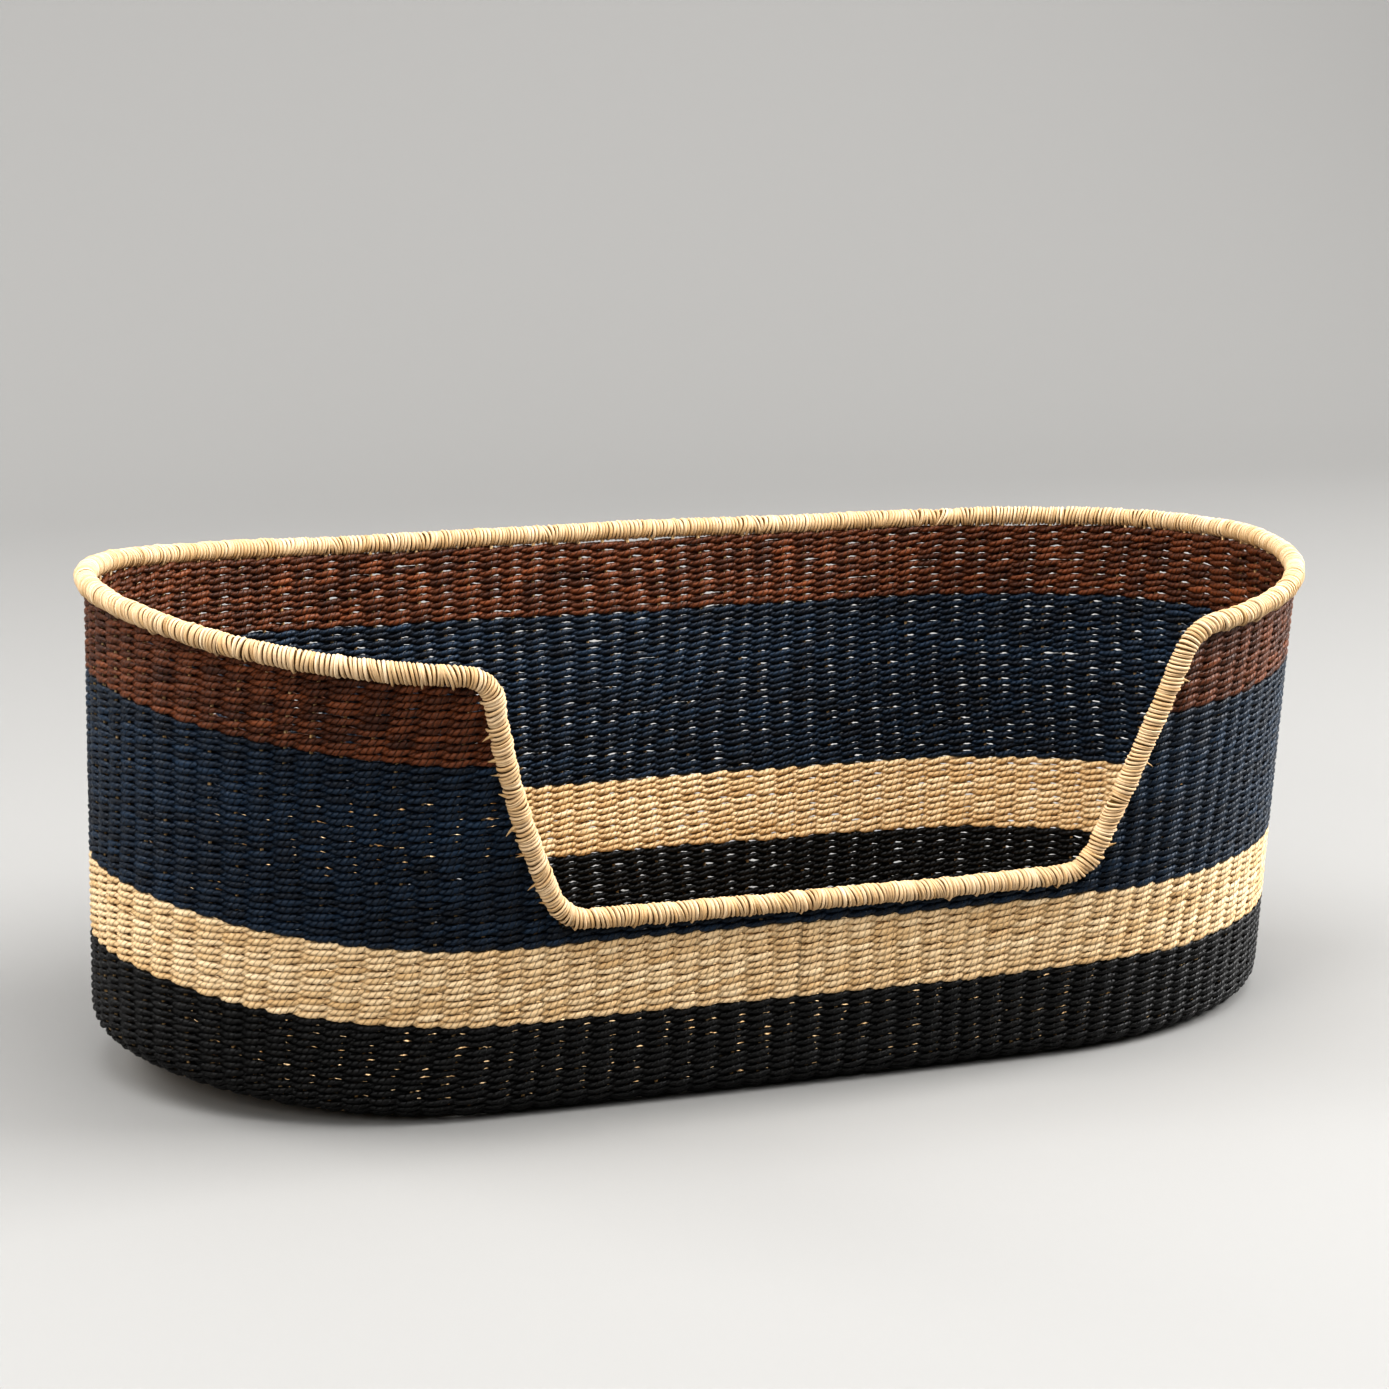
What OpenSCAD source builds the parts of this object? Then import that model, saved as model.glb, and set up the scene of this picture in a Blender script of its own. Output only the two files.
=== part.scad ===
// Twined grass pet bed: a long oval basket with a lowered entrance in its front wall.
// Millimetres, +Z up, -Y is the front. The origin is on the floor, under the middle of the base.

/* [Body] */
// Length of the woven wall, outside, end to end
basket_len = 902; // [840:2:960]
// Depth of the wall, outside, where it leaves the floor
base_depth = 346; // [330:2:360]
// Depth of the wall, outside, at the rim
rim_depth = 426; // [400:2:450]
// Height of the rim's centre above the floor, at mid length
rim_height = 319; // [300:1:340]
// Length of the near-straight run of each long side
straight_len = 430; // [390:5:470]
// How far the long sides bow out at mid length
side_bow = 10; // [4:1:16]
// Radius of the turn from the floor into the wall, at the middle of the weave
turn_r = 16; // [12:1:20]
// How far the left end curls up
left_lift = 26; // [4:1:30]
// How far the rim rises at the right end
right_lift = 15; // [4:1:20]

/* [Weave] */
// Thickness of the woven wall
wall_t = 7.8; // [7.4:0.2:9]
// Diameter of one stake
stake_d = 2.2; // [1.6:0.1:2.4]
// Distance from stake to stake round the wall
stake_pitch = 18.4; // [16:0.2:24]

/* [Bands] */
// Height of the black band's top edge
black_top = 71; // [60:1:80]
// Height of the natural band's top edge
natural_top = 127; // [110:1:130]
// Height of the navy band's top edge
navy_top = 258; // [230:1:270]

/* [Entrance] */
// Height of the sill rim's centre
sill_height = 144; // [142:1:165]
// Width of the entrance at the sill
foot_width = 388; // [360:1:400]
// Width of the entrance at the top of the wall
head_width = 514; // [500:1:560]
// How far the sill's middle lies to the right of the basket's middle
foot_shift = 19; // [0:1:32]
// How far the entrance's head lies to the right of the basket's middle
head_shift = 23; // [0:1:26]
// How far the left slope bows outwards, halfway up
left_bow = 8; // [0:1:12]
// Length of each rounded corner, along the rim
corner_run = 20; // [14:1:24]

/* [Rim] */
// Outside diameter of the lashed rim
rim_d = 15; // [13:0.5:16]
// Diameter of the bundle inside the lashing
core_d = 9.6; // [8:0.2:10]
// How far the rim's centre lies outside the middle of the wall
rim_out = 2.5; // [0:0.5:3.5]

/* [Hidden] */

gap = 0.3;                                  // clearance between touching weaves
half_t = wall_t / 2;
half_a = basket_len / 2 - half_t;           // half length at the middle of the weave
half_st = straight_len / 2;
cap_len = half_a - half_st;                 // length of one rounded end
rim_r = rim_d / 2;
core_r = core_d / 2;
turn_top = half_t + turn_r;                 // height at which the wall starts to rise straight
flat_half = 0.45 * half_a;                  // the base is flat between these distances from the middle
skin_in = stake_d / 2 + 0.2;                // the strands lie outside this distance from the middle
outer_skin = [skin_in, half_t];
inner_skin = [-half_t, -skin_in];
steps = 64;                                 // stations round the wall
turn_steps = 4;                             // facets of the turn
straw = "burlywood";
black = "#161514";
navy = "#1c2c46";
brown = "#6b3a26";

// ---- plan of the wall ---------------------------------------------------------------------------
// Half depth at height z, at the middle of the weave
function half_b(z) = let(s = max(0, (z - turn_top) / (rim_height - turn_top)))
    (base_depth + (rim_depth - base_depth) * s) / 2 - half_t;
// One quarter of the plan, from the middle of a long side (w = 0) to the tip of an end (w = 1)
straight_share = half_st / (half_st + 0.95 * cap_len * PI / 2);
function quarter(w, b) =
    let(v = (w - straight_share) / (1 - straight_share),
        x = w < straight_share ? half_st * w / straight_share : half_st + cap_len * sin(90 * v),
        k = w < straight_share ? 1 : cos(90 * v))
    [x, k * (b - side_bow + side_bow * cos(90 * x / half_a))];
// Running length of the quarter against w, so that stations can be spaced evenly
samples = 60;
mid_b = half_b((rim_height + turn_top) / 2);
function stride(i) = norm(quarter((i + 1) / samples, mid_b) - quarter(i / samples, mid_b));
walked = [for (i = 0, len = 0; i <= samples; len = len + stride(i), i = i + 1) [len, i / samples]];
quarter_len = walked[samples][0];
walked_back = [for (e = walked) [e[1], e[0]]];
perimeter = 4 * quarter_len;
// Plan point at fraction f of the way round, from the middle of the front, to the right first
function ring(f, z) =
    let(g = 4 * (f - floor(f)),
        k = floor(g),
        v = k % 2 == 0 ? g - k : 1 - (g - k),
        q = quarter(lookup(v * quarter_len, walked), half_b(z)))
    [k < 2 ? q[0] : -q[0], (k == 1 || k == 2) ? q[1] : -q[1]];
function outward(f, z) =
    let(d = ring(f + 0.002, z) - ring(f - 0.002, z))
    [d[1], -d[0]] / norm(d);
// Fraction round at which the front wall has this x
function front_f(x) =
    let(d = abs(x),
        w = d < half_st ? straight_share * d / half_st
                        : straight_share + (1 - straight_share) * asin((d - half_st) / cap_len) / 90,
        f = lookup(w, walked_back) / perimeter)
    x < 0 ? -f : f;
// The ends curl up, the left one as a whole and the right one more and more towards the rim
function lift(x, z) =
    let(u = max(0, (abs(x) - flat_half) / (half_a - flat_half)))
    u * u * (x < 0 ? left_lift : right_lift * max(0, z) / rim_height);
// Point of the wall: off is the distance outwards from the middle of the weave
function wall(f, z, off) =
    let(p = ring(f, z) + off * outward(f, z))
    [p[0], p[1], z + lift(p[0], z)];

// ---- entrance -----------------------------------------------------------------------------------
foot_left = foot_shift - foot_width / 2;
foot_right = foot_shift + foot_width / 2;
head_left = head_shift - head_width / 2;
head_right = head_shift + head_width / 2;
function rise(z) = (z - sill_height) / (rim_height - sill_height);
function slope_left(z) = foot_left + (head_left - foot_left) * rise(z)
    - 4 * left_bow * max(0, rise(z) * (1 - rise(z)));
function slope_right(z) = foot_right + (head_right - foot_right) * rise(z);
// The weave stops short of the rim's lashing, and is rounded off under the top corners
weave_margin = 1.2 * (rim_r + gap);
weave_top = rim_height - rim_r - gap;
function corner_cut(z) = 12 * pow(max(0, (z - weave_top + corner_run) / corner_run), 2);
function weave_left(z) = slope_left(z) - weave_margin - corner_cut(z);
function weave_right(z) = slope_right(z) + weave_margin + corner_cut(z);

// ---- generic solids -----------------------------------------------------------------------------
function backwards(list) = [for (i = [len(list) - 1 : -1 : 0]) list[i]];
// Sweep of a closed section of [distance outwards, height] points along the wall.
// A whole ring closes on itself. A broken one starts and ends at the entrance's slopes.
module weave(section, whole) {
    m = len(section);
    n = whole ? steps : steps + 1;
    function at(i, e) = whole ? i / steps
        : let(f0 = front_f(weave_right(e[1])), f1 = 1 + front_f(weave_left(e[1])))
          f0 + (f1 - f0) * i / steps;
    points = [for (i = [0 : n - 1], e = section) wall(at(i, e), e[1], e[0])];
    sides = [for (i = [0 : steps - 1], j = [0 : m - 1])
        let(i2 = (i + 1) % n, j2 = (j + 1) % m)
        each [[i * m + j, i * m + j2, i2 * m + j], [i2 * m + j, i * m + j2, i2 * m + j2]]];
    e = steps * m;
    caps = whole ? [] : [for (j = [0 : m / 2 - 2])
        let(a = j, b = j + 1, c = m - 2 - j, d = m - 1 - j)
        each [[c, b, a], [d, c, a], [e + a, e + b, e + c], [e + a, e + c, e + d]]];
    polyhedron(points, concat(sides, caps), convexity = 6);
}
// One layer of strands of a band, through a list of heights
module band(levels, skin, whole) {
    weave(concat([for (z = levels) [skin[1], z]], [for (z = backwards(levels)) [skin[0], z]]), whole);
}
// Straight round straw between two points
module straw_between(p, q, d) {
    v = q - p;
    translate(p)
        rotate([0, acos(v[2] / norm(v)), atan2(v[1], v[0])])
            cylinder(d = d, h = norm(v), $fn = 16);
}

// ---- floor --------------------------------------------------------------------------------------
function floor_edge(extra) = [for (i = [0 : steps - 1])
    let(f = i / steps) ring(f, 0) - (turn_r + extra) * outward(f, 0)];
// Side view of one floor layer: flat, with the left end curling up
lift_steps = 8;
function layer_run(z) = [for (i = [0 : lift_steps])
    let(x = -half_a + (half_a - flat_half) * i / lift_steps) [x, z + lift(x, 0)]];
module floor_layer(z0, z1) {
    intersection() {
        rotate([90, 0, 0])
            translate([0, 0, -base_depth])
                linear_extrude(2 * base_depth)
                    polygon(concat(layer_run(z0), [[half_a, z0], [half_a, z1]],
                                   backwards(layer_run(z1))));
        translate([0, 0, -1])
            linear_extrude(left_lift + wall_t + 2)
                polygon(floor_edge(gap));
    }
}
module base_weave() {
    color(straw) {
        floor_layer(0, half_t - skin_in);
        floor_layer(half_t + skin_in, wall_t);
    }
}
base_count = floor((half_a - turn_r - 4) / stake_pitch);
function floor_half(x) = abs(ring(front_f(x), 0)[1]) - turn_r - 4;
module base_stakes() {
    color(straw)
        for (i = [-base_count : base_count]) {
            x = i * stake_pitch;
            y = floor_half(abs(x) + turn_r);
            z = half_t + lift(x, 0);
            straw_between([x, -y, z], [x, y, z], stake_d);
        }
}

// ---- coloured bands -----------------------------------------------------------------------------
function turn(off) = [for (i = [0 : turn_steps])
    let(t = 90 * i / turn_steps, r = turn_r + off) [r * sin(t) - turn_r, turn_top - r * cos(t)]];
module black_band(skin) {
    color(black)
        weave(concat(turn(skin[1]), [[skin[1], black_top], [skin[0], black_top]],
                     backwards(turn(skin[0]))), true);
}
module natural_band(skin) {
    color(straw) band([black_top, natural_top], skin, true);
}
sill_weave_top = sill_height - rim_r - gap;
module navy_band_lower(skin) {
    color(navy) band([natural_top, sill_weave_top], skin, true);
}
navy_layers = 4;
navy_levels = [for (i = [0 : navy_layers])
    sill_weave_top + (navy_top - sill_weave_top) * i / navy_layers];
module navy_band_upper(skin) {
    color(navy) band(navy_levels, skin, false);
}
shoulder = weave_top - corner_run / 2;
module brown_band(skin) {
    color(brown) band([navy_top, (navy_top + shoulder) / 2, shoulder, weave_top], skin, false);
}
module black_band_outer() black_band(outer_skin);
module black_band_inner() black_band(inner_skin);
module natural_band_outer() natural_band(outer_skin);
module natural_band_inner() natural_band(inner_skin);
module navy_band_lower_outer() navy_band_lower(outer_skin);
module navy_band_lower_inner() navy_band_lower(inner_skin);
module navy_band_upper_outer() navy_band_upper(outer_skin);
module navy_band_upper_inner() navy_band_upper(inner_skin);
module brown_band_outer() brown_band(outer_skin);
module brown_band_inner() brown_band(inner_skin);

// ---- upright stakes -----------------------------------------------------------------------------
stake_count = 2 * round(perimeter / stake_pitch / 2);
function stake_f(i) = (i + 0.5) / stake_count;
// Edges of the weave beside the entrance as [distance sideways, height]
edge_steps = 12;
edge_levels = [for (i = [0 : edge_steps])
    sill_weave_top + (weave_top - sill_weave_top) * i / edge_steps];
left_edge = [for (z = edge_levels) [-weave_left(z), z]];
right_edge = [for (z = edge_levels) [weave_right(z), z]];
// Height at which the stake at this place meets the rim
function stake_top(f) =
    let(x = ring(f, sill_height)[0])
    f > 0.25 && f < 0.75 ? weave_top
        : x < foot_shift ? lookup(-x - stake_d / 2, left_edge) : lookup(x - stake_d / 2, right_edge);
module stakes(from, to) {
    color(straw)
        for (i = [0 : stake_count - 1])
            if (stake_f(i) >= from && stake_f(i) < to)
                straw_between(wall(stake_f(i), turn_top, 0),
                              wall(stake_f(i), stake_top(stake_f(i)), 0), stake_d);
}
end_from = 0.17;                            // the right end lies between these fractions
end_to = 0.33;
sill_from = front_f(foot_left);
sill_to = front_f(foot_right);
module stakes_sill() {
    stakes(0, sill_to);
    stakes(1 + sill_from, 1);
}
module stakes_front_right() stakes(sill_to, end_from);
module stakes_right_end() stakes(end_from, end_to);
module stakes_back() stakes(end_to, 1 - end_to);
module stakes_left_end() stakes(1 - end_to, 1 - end_from);
module stakes_front_left() stakes(1 - end_from, 1 + sill_from);

// ---- rim ----------------------------------------------------------------------------------------
// The rim's path as [fraction round, height]: sill, right slope, all round the top, left slope
sill_n = 14;
slope_n = 4;
corner_n = 4;
top_n = 72;
function toward(p, q, d) = p + (q - p) * d / norm(q - p);
function bend(p, c, q) = [for (i = [0 : corner_n])
    let(t = i / corner_n) (1 - t) * (1 - t) * p + 2 * t * (1 - t) * c + t * t * q];
function between(p, q, n) = [for (i = [1 : n - 1]) p + (q - p) * i / n];
function on_front(list) = [for (p = list) [front_f(p[0]), p[1]]];
b_foot = [foot_left, sill_height];
c_foot = [foot_right, sill_height];
a_head = [head_left, rim_height];
d_head = [head_right, rim_height];
top_right = d_head + [corner_run, 0];
top_left = a_head - [corner_run, 0];
sill_run = between(toward(b_foot, c_foot, corner_run), toward(c_foot, b_foot, corner_run), sill_n);
right_run = concat(bend(toward(c_foot, b_foot, corner_run), c_foot, toward(c_foot, d_head, corner_run)),
    between(toward(c_foot, d_head, corner_run), toward(d_head, c_foot, corner_run), slope_n),
    bend(toward(d_head, c_foot, corner_run), d_head, top_right));
function bowed(p) = [slope_left(p[1]), p[1]];
left_top = toward(a_head, b_foot, corner_run);
left_low = toward(b_foot, a_head, corner_run);
left_run = concat(bend(top_left, a_head, bowed(left_top)),
    [for (p = between(left_top, left_low, 2 * slope_n)) bowed(p)],
    bend(bowed(left_low), b_foot, toward(b_foot, c_foot, corner_run)));
top_run = between([front_f(top_right[0]), rim_height], [1 + front_f(top_left[0]), rim_height], top_n);
rim_route = concat(on_front(right_run), top_run,
                   [for (p = on_front(left_run)) p + [1, 0]],
                   [for (p = on_front(sill_run)) p + [1, 0]]);
rim_n = len(rim_route);
rim_path = [for (p = rim_route) wall(p[0], p[1], rim_out)];
function wrap_i(i) = (i + 2 * rim_n) % rim_n;
// Points of a round section of radius r, square to the rim at station i
rim_sides = 8;
function rim_section(i, r) =
    let(k = wrap_i(i),
        d = rim_path[wrap_i(k + 1)] - rim_path[wrap_i(k - 1)],
        t = d / norm(d),
        o2 = outward(rim_route[k][0], rim_route[k][1]),
        o = [o2[0], o2[1], 0],
        n0 = o - (o * t) * t,
        n = n0 / norm(n0),
        b = cross(t, n))
    [for (j = [0 : rim_sides - 1])
        let(a = 360 * j / rim_sides) rim_path[k] + r * (cos(a) * n + sin(a) * b)];
module rim_core() {
    m = rim_sides;
    points = [for (i = [0 : rim_n - 1]) each rim_section(i, core_r)];
    faces = [for (i = [0 : rim_n - 1], j = [0 : m - 1])
        let(i2 = (i + 1) % rim_n, j2 = (j + 1) % m)
        each [[i * m + j, i2 * m + j, i * m + j2], [i2 * m + j, i2 * m + j2, i * m + j2]]];
    color(straw) polyhedron(points, faces, convexity = 8);
}
// One stretch of the lashing: a sleeve round the core, from station i0 to station i1
module lashing(i0, i1) {
    m = rim_sides;
    n = i1 - i0;
    inner_r = core_r + gap / 2;
    points = concat([for (i = [i0 : i1]) each rim_section(i, rim_r)],
                    [for (i = [i0 : i1]) each rim_section(i, inner_r)]);
    k = (n + 1) * m;
    walls = [for (i = [0 : n - 1], j = [0 : m - 1])
        let(j2 = (j + 1) % m, a = i * m + j, b = i * m + j2, c = a + m, d = b + m)
        each [[a, c, b], [c, d, b], [k + a, k + b, k + c], [k + c, k + b, k + d]]];
    ends = [for (j = [0 : m - 1])
        let(j2 = (j + 1) % m, e = n * m)
        each [[j, j2, k + j], [k + j, j2, k + j2],
              [e + j, k + e + j, e + j2], [k + e + j, k + e + j2, e + j2]]];
    color(straw) polyhedron(points, concat(walls, ends), convexity = 8);
}
right_slope_end = len(right_run) - 1;
top_end = len(right_run) + len(top_run);
left_slope_end = top_end + len(left_run) - 1;
// Station of the top run nearest to fraction f
function top_station(f) = len([for (p = rim_route) if (p[1] == rim_height && p[0] < f) 1])
    + len([for (p = right_run) if (p[1] < rim_height) 1]);
module rim_lashing_right_slope() lashing(0, right_slope_end);
module rim_lashing_front_right() lashing(right_slope_end, top_station(end_from));
module rim_lashing_right_end() lashing(top_station(end_from), top_station(end_to));
module rim_lashing_back_right() lashing(top_station(end_to), top_station(0.5));
module rim_lashing_back_left() lashing(top_station(0.5), top_station(1 - end_to));
module rim_lashing_left_end() lashing(top_station(1 - end_to), top_station(1 - end_from));
module rim_lashing_front_left() lashing(top_station(1 - end_from), top_end);
module rim_lashing_left_slope() lashing(top_end, left_slope_end);
module rim_lashing_sill() lashing(left_slope_end, rim_n);

// ---- trimmed ends beside the entrance -----------------------------------------------------------
end_len = 9;
module stake_ends(side, count) {
    z0 = sill_height + corner_run;
    z1 = rim_height - corner_run - rim_r;
    color(straw)
        for (i = [0 : count - 1]) {
            z = z0 + (z1 - z0) * (i + 0.5) / count;
            x = side < 0 ? slope_left(z) : slope_right(z);
            off = half_t + gap + stake_d / 2;
            straw_between(wall(front_f(x + side * (weave_margin + stake_d / 2)), z, off),
                          wall(front_f(x + side * (weave_margin + end_len)), z - 3, off), stake_d);
        }
}
module stake_ends_left() stake_ends(-1, 14);
module stake_ends_right() stake_ends(1, 5);

base_weave();
base_stakes();
black_band_outer();
black_band_inner();
natural_band_outer();
natural_band_inner();
navy_band_lower_outer();
navy_band_lower_inner();
navy_band_upper_outer();
navy_band_upper_inner();
brown_band_outer();
brown_band_inner();
stakes_back();
stakes_left_end();
stakes_right_end();
stakes_front_left();
stakes_front_right();
stakes_sill();
rim_core();
rim_lashing_back_left();
rim_lashing_back_right();
rim_lashing_left_end();
rim_lashing_right_end();
rim_lashing_front_left();
rim_lashing_front_right();
rim_lashing_left_slope();
rim_lashing_right_slope();
rim_lashing_sill();
stake_ends_left();
stake_ends_right();
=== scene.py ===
# %% [markdown]
# # A twined grass pet basket
# The basket is twined: upright straws, the stakes, stand round an oval floor, and pairs of twisted
# grass strands run round them in rows. One strand of a pair passes outside a stake while the other
# passes inside, and they cross before the next stake. The edge is a bundle of straws with split grass
# wound tightly round it. This script builds every strand as real geometry, because the light that
# comes through the gaps is what makes such a wall look woven.

# %% Load the frame
import bpy
import math
import numpy as np
from mathutils import Matrix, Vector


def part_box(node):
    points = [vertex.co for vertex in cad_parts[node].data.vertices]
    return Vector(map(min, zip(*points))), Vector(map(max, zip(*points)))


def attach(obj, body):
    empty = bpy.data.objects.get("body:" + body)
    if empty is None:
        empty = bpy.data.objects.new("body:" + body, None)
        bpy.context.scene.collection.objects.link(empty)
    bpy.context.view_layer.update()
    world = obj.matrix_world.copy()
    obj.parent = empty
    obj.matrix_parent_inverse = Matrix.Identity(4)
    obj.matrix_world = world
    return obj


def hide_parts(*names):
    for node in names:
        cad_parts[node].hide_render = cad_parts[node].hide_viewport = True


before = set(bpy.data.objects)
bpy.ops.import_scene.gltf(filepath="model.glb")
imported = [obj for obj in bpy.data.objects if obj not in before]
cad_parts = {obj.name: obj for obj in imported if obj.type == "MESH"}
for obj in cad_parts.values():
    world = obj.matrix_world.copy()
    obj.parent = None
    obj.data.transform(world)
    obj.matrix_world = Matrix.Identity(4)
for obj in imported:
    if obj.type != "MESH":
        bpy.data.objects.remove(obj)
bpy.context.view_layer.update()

# %% [markdown]
# The sizes come from the frame where it can give them. A node's box tells where a band of colour
# begins and how high the rim and the sill lie, so the strands land where the design says. Lengths are
# in millimetres until a mesh is made, since a weave is easiest to think about in millimetres.

# %% Sizes in millimetres
MM = 0.001


def low(node, axis):
    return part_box(node)[0][axis] / MM


def high(node, axis):
    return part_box(node)[1][axis] / MM


wall_t = 7.8                                    # strand, stake and strand
half_t = wall_t / 2
black_top = low("natural_band_outer", 2)        # the long sides lie lowest, so a box's floor is a height
natural_top = low("navy_band_lower_outer", 2)
navy_top = low("brown_band_outer", 2)
rim_d = 15.0
rim_r = rim_d / 2
core_r = 4.8                                    # the grass bundle inside the rim
rim_out_by = 2.5                                # the rim's centre lies outside the middle of the wall
rim_height = low("rim_lashing_back_right", 2) + rim_r
sill_height = low("rim_lashing_sill", 2) + rim_r
half_a = (high("navy_band_lower_outer", 0) - low("navy_band_lower_outer", 0)) / 2 - half_t
half_st = 215.0                                 # half of the near-straight run of a long side
cap_len = half_a - half_st
base_depth = 346.0                              # across the wall at the floor
rim_depth = 426.0                               # and at the rim, since the wall flares
side_bow = 10.0                                 # how far a long side bows out
turn_r = 16.0                                   # radius of the turn from the floor into the wall
turn_top = half_t + turn_r
left_lift = 26.0                                # the left end curls up off the floor
right_lift = 15.0                               # the right end's rim rises, its foot stays down
flat_half = 0.45 * half_a                       # this far from the middle nothing curls up
weave_top = rim_height - rim_r
print(f"bands change colour at {black_top:.0f}, {natural_top:.0f} and {navy_top:.0f} mm,"
      f" the rim is at {rim_height:.0f} mm and the sill at {sill_height:.0f} mm")

# %% [markdown]
# The plan of the wall is two long sides, bowed out a little, joined by half ellipses. A place on the
# wall is named by f, the fraction of the way round from the middle of the front, and by its height.
# Working in those two numbers means that a row of weaving is simply a line of constant height.

# %% The wall as a surface


def half_b(z):
    """Half depth of the plan at height z, at the middle of the weave."""
    s = np.maximum(0, (z - turn_top) / (rim_height - turn_top))
    return (base_depth + (rim_depth - base_depth) * s) / 2 - half_t


straight_share = half_st / (half_st + 0.95 * cap_len * math.pi / 2)     # w where a long side ends


def quarter(w, b):
    """Plan of a quarter of the wall, from the middle of a long side (w = 0) to the tip (w = 1)."""
    v = np.clip((w - straight_share) / (1 - straight_share), 0, 1) * math.pi / 2
    on_side = w < straight_share
    x = np.where(on_side, half_st * w / straight_share, half_st + cap_len * np.sin(v))
    k = np.where(on_side, 1, np.cos(v))
    return x, k * (b - side_bow + side_bow * np.cos(math.pi / 2 * x / half_a))


table_w = np.linspace(0, 1, 61)
table_x, table_y = quarter(table_w, half_b((rim_height + turn_top) / 2))
table_len = np.concatenate([[0], np.cumsum(np.hypot(np.diff(table_x), np.diff(table_y)))])
quarter_len = table_len[-1]
perimeter = 4 * quarter_len
side_share = float(np.interp(straight_share, table_w, table_len)) / quarter_len


def fold(f):
    """Number of the quarter that f lies in, and how far f is on the way from its long side to the tip."""
    g = 4 * (f - np.floor(f))
    k = np.floor(g)
    return k, np.where(k % 2 == 0, g - k, 1 - (g - k))


def unfold(k, x, y):
    """Mirrors a point with positive x and y into quarter k, counted from the front right."""
    return np.where(k < 2, x, -x), np.where((k == 1) | (k == 2), y, -y)


def ring(f, z):
    """Plan of the whole wall at height z."""
    k, v = fold(f)
    x, y = quarter(np.interp(v * quarter_len, table_len, table_w), half_b(z))
    return unfold(k, x, y)


def outward(f, z):
    """Level unit vector that points out of the basket."""
    step = 0.002
    x1, y1 = ring(f + step, z)
    x0, y0 = ring(f - step, z)
    dx, dy = x1 - x0, y1 - y0
    size = np.hypot(dx, dy)
    return dy / size, -dx / size


def lift(x, z):
    """How far the ends' curl raises a point: the whole left end, and the right end more with height."""
    u = np.maximum(0, (np.abs(x) - flat_half) / (half_a - flat_half))
    return u * u * np.where(x < 0, left_lift, right_lift * np.maximum(0, z) / rim_height)


def front_f(x):
    """Fraction round at which the front wall has this x."""
    d = np.abs(x)
    v = np.arcsin(np.clip((d - half_st) / cap_len, 0, 1)) / (math.pi / 2)
    w = np.where(d < half_st, straight_share * d / half_st, straight_share + (1 - straight_share) * v)
    f = np.interp(w, table_w, table_len) / perimeter
    return np.where(x < 0, -f, f)


def wall(f, z, off):
    """Point of the wall; off is the distance outwards from the middle of the weave."""
    f, z, off = np.broadcast_arrays(np.asarray(f, float), z, off)
    x, y = ring(f, z)
    nx, ny = outward(f, z)
    x, y = x + off * nx, y + off * ny
    return np.stack([x, y, z + lift(x, z)], axis=-1)


print(f"the wall is {perimeter:.0f} mm round")

# %% [markdown]
# The lowest rows roll round the turn from the floor into the wall. So a row's place is its distance p
# up the middle of the weave, counted from the floor's edge, and one function turns p into a height,
# a distance outwards and the direction in which the weave faces there.

# %% The turn from the floor into the wall
turn_len = turn_r * math.pi / 2


def woven(f, p, depth):
    """Point at distance p up the weave, and depth towards the weave's outer face."""
    f, p, depth = np.broadcast_arrays(np.asarray(f, float), p, depth)
    t = np.clip(p, 0, turn_len) / turn_r
    above = np.maximum(0, p - turn_len)
    off = turn_r * np.sin(t) - turn_r + depth * np.sin(t)
    z = turn_top - turn_r * np.cos(t) + above - depth * np.cos(t)
    return wall(f, z, off)


def p_of(z):
    """Distance up the weave of height z on the straight part of the wall."""
    return z - turn_top + turn_len


stake_pitch = 18.4
stake_count = 2 * round(perimeter / stake_pitch / 2)
print(f"{stake_count} stakes stand {perimeter / stake_count:.1f} mm apart")

# %% [markdown]
# Nothing made by hand is even. The weaver's tension wanders, so stakes lean and rows ripple. Two
# smooth fields, each a sum of a few waves with seeded phases, give every strand and stake the same
# wandering, so that neighbours still fit together.

# %% Uneven hand work
stake_sway = 0.42                               # part of a stitch by which a stake strays
row_sway = 1.1                                  # how far a row ripples up and down
hand = np.random.default_rng(7)
waves = [(m, hand.uniform(0, 2 * math.pi), hand.uniform(-1, 1)) for m in (3, 5, 8, 13, 21, 34)]


def wander(f, p, reach):
    """Smooth wandering between about -1 and 1, that changes over reach millimetres of height."""
    total = 0
    for m, start, lean in waves:
        total = total + np.sin(2 * math.pi * m * f + start + lean * p / reach) / math.sqrt(m)
    return total / 1.6


def stake_shift(f, p):
    return stake_sway * wander(f, p, 28)


def row_ripple(f, p):
    return row_sway * wander(f + 0.37, p, 60)


def smooth_noise(rng, count, n):
    """n numbers that follow count random ones smoothly, and close on themselves."""
    knots = rng.normal(0, 1, count)
    at = np.linspace(0, count, n, endpoint=False)
    i = at.astype(int)
    t = at - i
    t = t * t * (3 - 2 * t)
    return knots[i % count] * (1 - t) + knots[(i + 1) % count] * t


print(f"{len(waves)} waves make the hand's wandering")

# %% [markdown]
# A strand can be a curve object with a bevel, which is quick to set up. Here it is a tube built as
# arrays instead: hundreds of strands have to become a few meshes, and the arrays let each point carry
# two attributes that the materials need. "lay" holds the distance along the strand and the direction
# round it, and "tone" holds how light that stretch of grass is.

# %% Tubes built as arrays


def unit(v):
    return v / np.linalg.norm(v, axis=-1, keepdims=True)


def per_point(size, n, sides):
    """A size for every point of a tube, from one number, one for each ring or one for each point."""
    size = np.asarray(size, float)
    return np.broadcast_to(size if size.ndim == 2 else size.reshape(-1, 1), (n, sides))


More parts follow.
